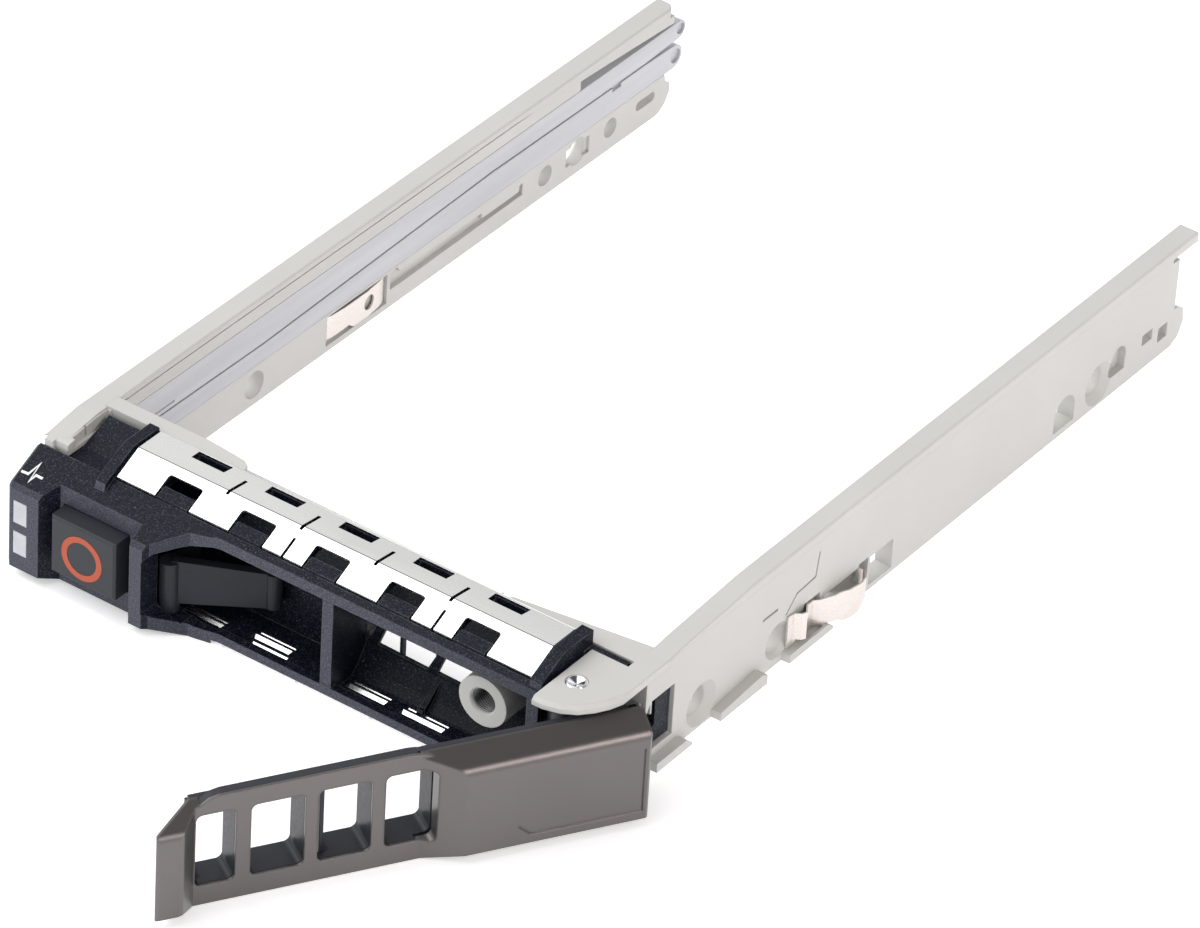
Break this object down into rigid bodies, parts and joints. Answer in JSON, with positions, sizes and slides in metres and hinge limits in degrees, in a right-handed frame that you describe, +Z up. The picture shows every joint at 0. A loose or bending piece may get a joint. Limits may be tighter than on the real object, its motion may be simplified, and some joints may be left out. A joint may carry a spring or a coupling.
{
  "type": "hot swap drive caddy",
  "caption": "Carrier for a 2.5 inch drive: two long side arms behind a dark front with a grounding shield, a release button with a ring mark, and a hinged grey handle swung open.",
  "frame": {"origin": "on the ground plane, under the middle of the whole carrier with its handle open as stored", "axes": "+Y from the front to the connector end, +X to the side the handle is hinged on, +Z up"},
  "size_m": [0.0798, 0.1588, 0.017],
  "materials": {
    "frame_plastic": "fine matte, light warm grey",
    "front_plastic": "coarse spark grain on top, finer on the front",
    "button_plastic": "fine matte",
    "latch_plastic": "smooth matte",
    "ring_paint": "printed ring, satin",
    "guide_plastic": "clear-grey, glossy",
    "shield_steel": "bright rolled sheet",
    "handle_coat": "satin metallic coat",
    "core_plastic": "satin",
    "spring_steel": "bright spring strip",
    "pin_steel": "polished"
  },
  "bodies": {
    "carrier": {"frame": "frame_plastic", "bezel": "front_plastic", "shield_upper": "shield_steel", "shield_lower": "shield_steel", "light_guide_upper": "guide_plastic", "light_guide_lower": "guide_plastic", "latch_pin": "latch_plastic", "handle_pin": "pin_steel", "handle_spring": "spring_steel", "ground_spring": "spring_steel", "arm_clip": "spring_steel", "boss_screw": "pin_steel"},
    "handle": {"handle_cover": "handle_coat", "handle_core": "core_plastic"},
    "button": {"button": "button_plastic", "button_ring": "ring_paint", "button_spring": "spring_steel"},
    "latch": {"latch": "latch_plastic"}
  },
  "joints": [
    {"name": "handle_hinge", "type": "hinge", "parent": "carrier", "child": "handle", "pos_m": [0.03088, -0.03432, 0], "axis": [0, 0, 1], "range_deg": [-58.2, 0], "stiffness_Nm_per_rad": 0.01, "springref_deg": 5.73},
    {"name": "button_push", "type": "slide", "parent": "carrier", "child": "button", "axis": [0, 1, 0], "range_m": [0, 0.0016], "stiffness_N_per_m": 300, "springref_m": -0.0005, "deforming": ["button_spring"]},
    {"name": "latch_turn", "type": "hinge", "parent": "carrier", "child": "latch", "pos_m": [-0.01002, -0.03252, 0], "axis": [0, 0, 1], "range_deg": [-7, 0]}
  ],
  "couplings": [
    {"joint": "latch_turn", "follows": "button_push", "rad_per_m": -65}
  ]
}
